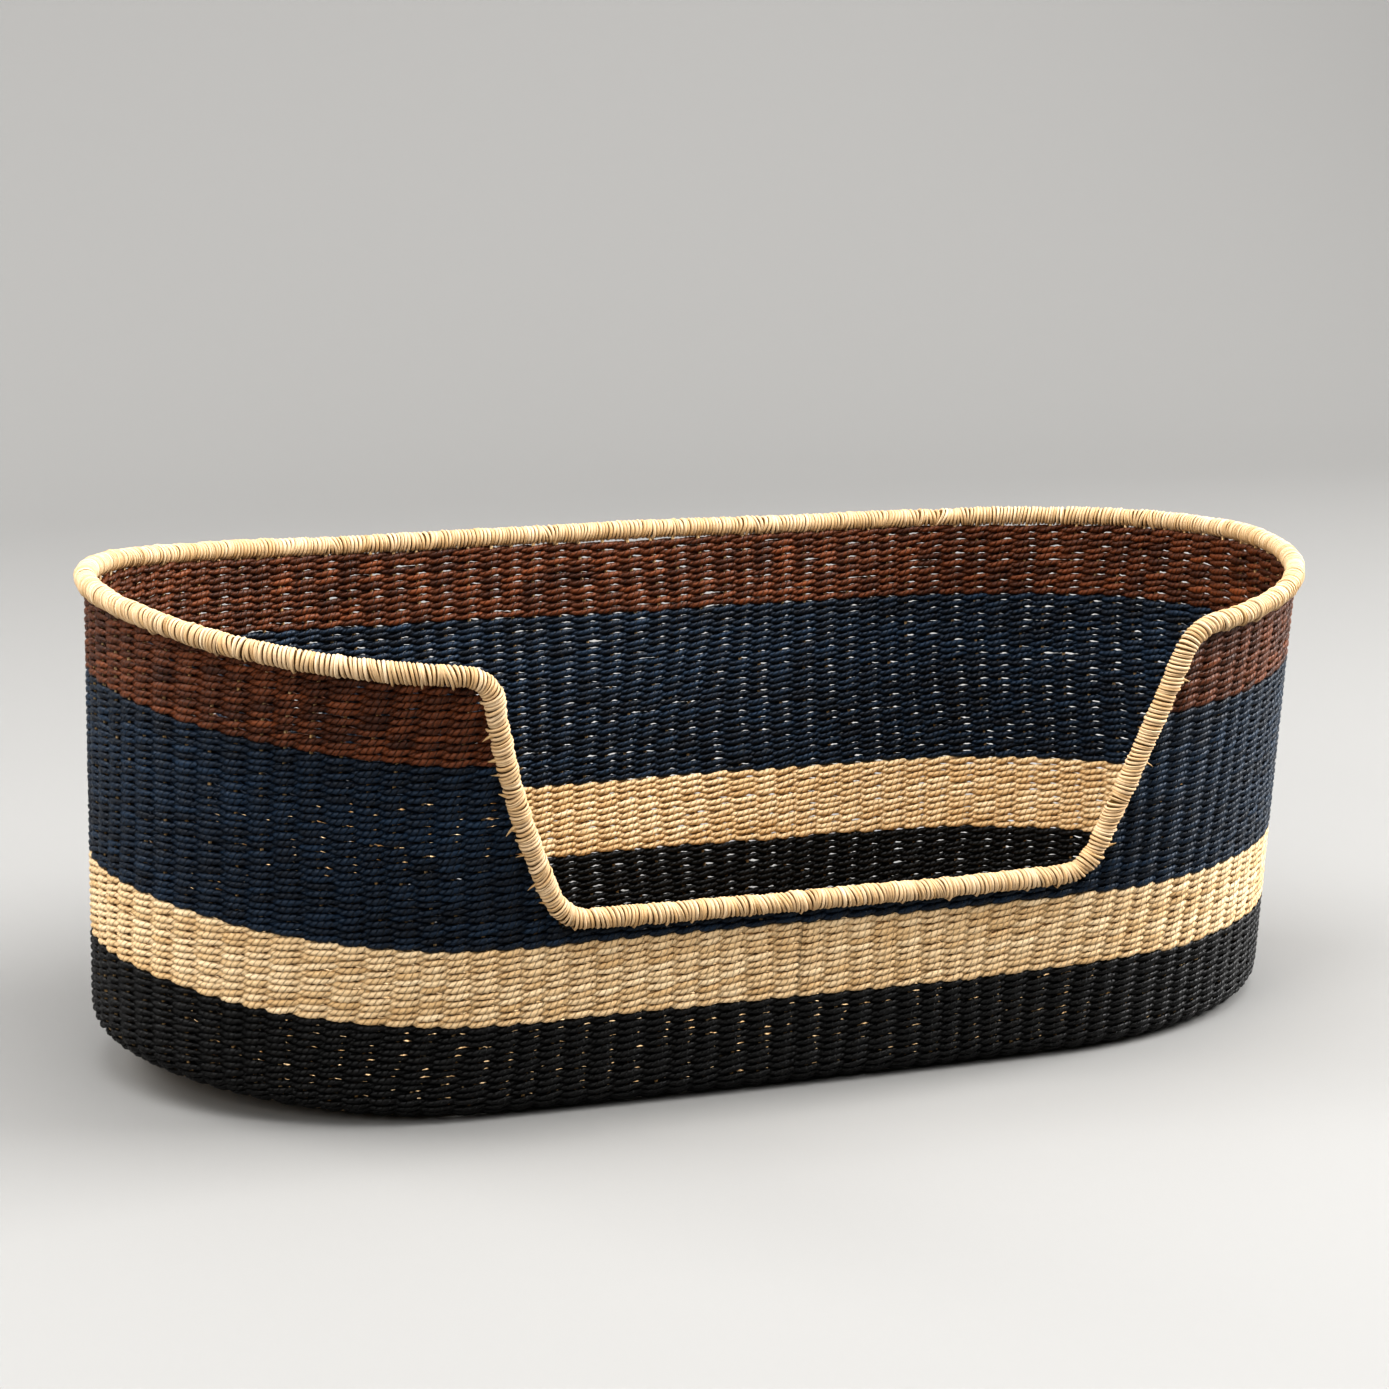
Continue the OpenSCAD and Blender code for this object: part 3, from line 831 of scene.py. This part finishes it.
right_head = s_at(float(front_f(right_out[0])), rim_height)
left_head = s_at(1 + float(front_f(left_out[0])), rim_height)
left_foot = float(rim_s[len(right_part) + len(top_part) + len(left_part) - 1])
stretches = [("right_slope", right_head), ("front_right", s_at(0.17)), ("right_end", s_at(0.33)),
             ("back_right", s_at(0.5)), ("back_left", s_at(0.67)), ("left_end", s_at(0.83)),
             ("front_left", left_head), ("left_slope", left_foot), ("sill", rim_len)]
rng_rim = np.random.default_rng(11)
overlap = 1.3                                   # each stretch runs this far past its end
start = 0.0
for stretch, end in stretches:
    piece(f"rim_strip_{stretch}", [lashing(start - overlap, end + overlap, rng_rim)], lashing_grass,
          [f"rim_lashing_{stretch}"])
    start = end

# %% [markdown]
# Beside the entrance the cut rows are bound under the rim, and trimmed ends of grass poke out from it.
# Each is a short flat blade that starts under the lashing and curls away over the weave.

# %% Trimmed ends beside the entrance


def trimmed_end(z, side, rng):
    """A short cut end at height z on a slope of the entrance."""
    length = rng.uniform(1.5, 4.5)
    t = np.linspace(0, 1, 7)
    x = edge_x(z, side) + side * (4.0 + (rim_r - 2.5 + length) * t)
    height = z + rng.uniform(-3, 2) * t + rng.uniform(-6, 4) * t * t
    off = half_t + 0.8 + rng.uniform(0, 3.5) * t * t
    path = wall(front_f(x), height, off)
    face = wall(front_f(x), height, off + 1) - path
    taper = np.clip(1.15 - t, 0.15, 1)
    return tube(path, face, 0.6 * taper, rng.uniform(1.0, 2.2) * taper, 6, False,
                rng.normal(-0.2, 0.5))


rng_ends = np.random.default_rng(3)
for name, side, count in (("stake_ends_left", -1, 9), ("stake_ends_right", 1, 3)):
    heights = np.linspace(sill_height + corner_run, rim_height - 2 * corner_run, count)
    piece(name.replace("stake_ends", "trimmed_ends"),
          [trimmed_end(z + rng_ends.uniform(-6, 6), side, rng_ends) for z in heights],
          stake_grass, [name])

# %% [markdown]
# The stage is a pale floor that sweeps up into a wall on every side, as in a product studio, so the
# basket can be looked at from anywhere. It is a stack of rounded rectangles that grow and rise.

# %% Stage
sweep_r = 1.2                                   # metres, as everything on the stage
wall_h = 4.0
corner_r = 1.0
corners = [(2.8, 0.9), (-2.8, 0.9), (-2.8, -2.8), (2.8, -2.8)]
arc_points = 9
sweep_angles = np.linspace(0, math.pi / 2, 17)
levels = [(-0.05, 0.0)] + [(sweep_r * math.sin(a), sweep_r - sweep_r * math.cos(a)) for a in sweep_angles]
levels += [(sweep_r, wall_h)]


def stage_ring(grow, z):
    """Rounded rectangle round the floor, grown outwards and lifted to height z."""
    ring_points = []
    for k, (x, y) in enumerate(corners):
        for a in np.linspace(k, k + 1, arc_points) * math.pi / 2:
            reach = corner_r + grow
            ring_points.append((x + reach * math.cos(a), y + reach * math.sin(a), z))
    return ring_points


around = len(corners) * arc_points
stage_faces = [tuple(range(around))]
stage_faces += [(m * around + k, (m + 1) * around + k,
                 (m + 1) * around + (k + 1) % around, m * around + (k + 1) % around)
                for m in range(len(levels) - 1) for k in range(around)]
stage_mesh = bpy.data.meshes.new("studio_sweep")
stage_mesh.from_pydata([point for grow, z in levels for point in stage_ring(grow, z)], [], stage_faces)
stage_mesh.shade_smooth()
studio_sweep = bpy.data.objects.new("studio_sweep", stage_mesh)
bpy.context.scene.collection.objects.link(studio_sweep)
paper, _, paper_shader = new_material("pale studio paper")
paper_shader.inputs["Base Color"].default_value = srgb("#868583")
paper_shader.inputs["Roughness"].default_value = 0.7
stage_mesh.materials.append(paper)
print(f"the stage is {len(levels)} rings of {around} points")

# %% [markdown]
# Light: a large soft light at the right is the key and a weaker one at the left fills. One overhead
# lights the floor and the inside, and one behind at the left softens the key's shadow. A white sky over
# the open stage adds a little light from everywhere.

# %% Lights


def soft_light(name, place, aim, size, watts):
    lamp = bpy.data.lights.new(name, "AREA")
    lamp.shape = "RECTANGLE"
    lamp.size, lamp.size_y = size
    lamp.energy = watts
    thing = bpy.data.objects.new(name, lamp)
    bpy.context.scene.collection.objects.link(thing)
    thing.location = place
    back = np.array(place) - np.array(aim)
    back = back / np.linalg.norm(back)
    right = np.cross([0, 0, 1], back)
    right = right / np.linalg.norm(right)
    up = np.cross(back, right)
    axes = Matrix([[right[k], up[k], back[k]] for k in range(3)])
    thing.rotation_euler = axes.to_euler()


soft_light("key_right", (3.2, -0.5, 1.9), (0.0, 0.0, 0.2), (2.0, 2.0), 200)
soft_light("fill_left", (-2.9, -1.8, 1.9), (0.0, 0.0, 0.2), (1.5, 1.5), 58)
soft_light("overhead", (0.0, -0.5, 2.2), (0.0, 0.0, 0.0), (2.4, 1.4), 42)
soft_light("behind_left", (-2.1, 1.2, 1.9), (-0.5, 0.1, 0.0), (1.5, 1.5), 52)
world = bpy.data.worlds.new("studio")
bpy.context.scene.world = world
world.use_nodes = True
sky = world.node_tree.nodes["Background"]
sky.inputs["Color"].default_value = srgb("#F2F2F4")
sky.inputs["Strength"].default_value = 1.1
print(f"{len(bpy.data.lights)} soft lights and a sky")

# %% [markdown]
# The "Standard" view with a contrast look keeps the darks deep. Blender's default view softens bright
# and dark tones, which greys the dyed grass.

# %% View
bpy.context.scene.view_settings.view_transform = "Standard"
bpy.context.scene.view_settings.look = "High Contrast"

# %% [markdown]
# The camera looks down a little from the left of the front, through a long lens, with a slight roll.
# Its matrix is built from those angles, which keeps the view easy to change.

# %% Camera
azimuth, elevation, roll = math.radians(-21.56), math.radians(14.37), math.radians(1.71)
distance = 2.4253
target = np.array([-0.0127, 0.0, 0.2421])
back = np.array([math.sin(azimuth) * math.cos(elevation), -math.cos(azimuth) * math.cos(elevation),
                 math.sin(elevation)])
right = np.array([math.cos(azimuth), math.sin(azimuth), 0.0])
up = np.cross(back, right)
rolled_right = right * math.cos(roll) + up * math.sin(roll)
rolled_up = up * math.cos(roll) - right * math.sin(roll)
place = target + distance * back
camera_data = bpy.data.cameras.new("camera")
camera_data.sensor_width = 36.0
camera_data.lens = 86.96
camera = bpy.data.objects.new("camera", camera_data)
bpy.context.scene.collection.objects.link(camera)
matrix = Matrix.Identity(4)
for column, vector in enumerate((rolled_right, rolled_up, back, place)):
    for k in range(3):
        matrix[k][column] = vector[k]
camera.matrix_world = matrix
bpy.context.scene.camera = camera
print(f"the camera is {distance:.2f} m from the basket")
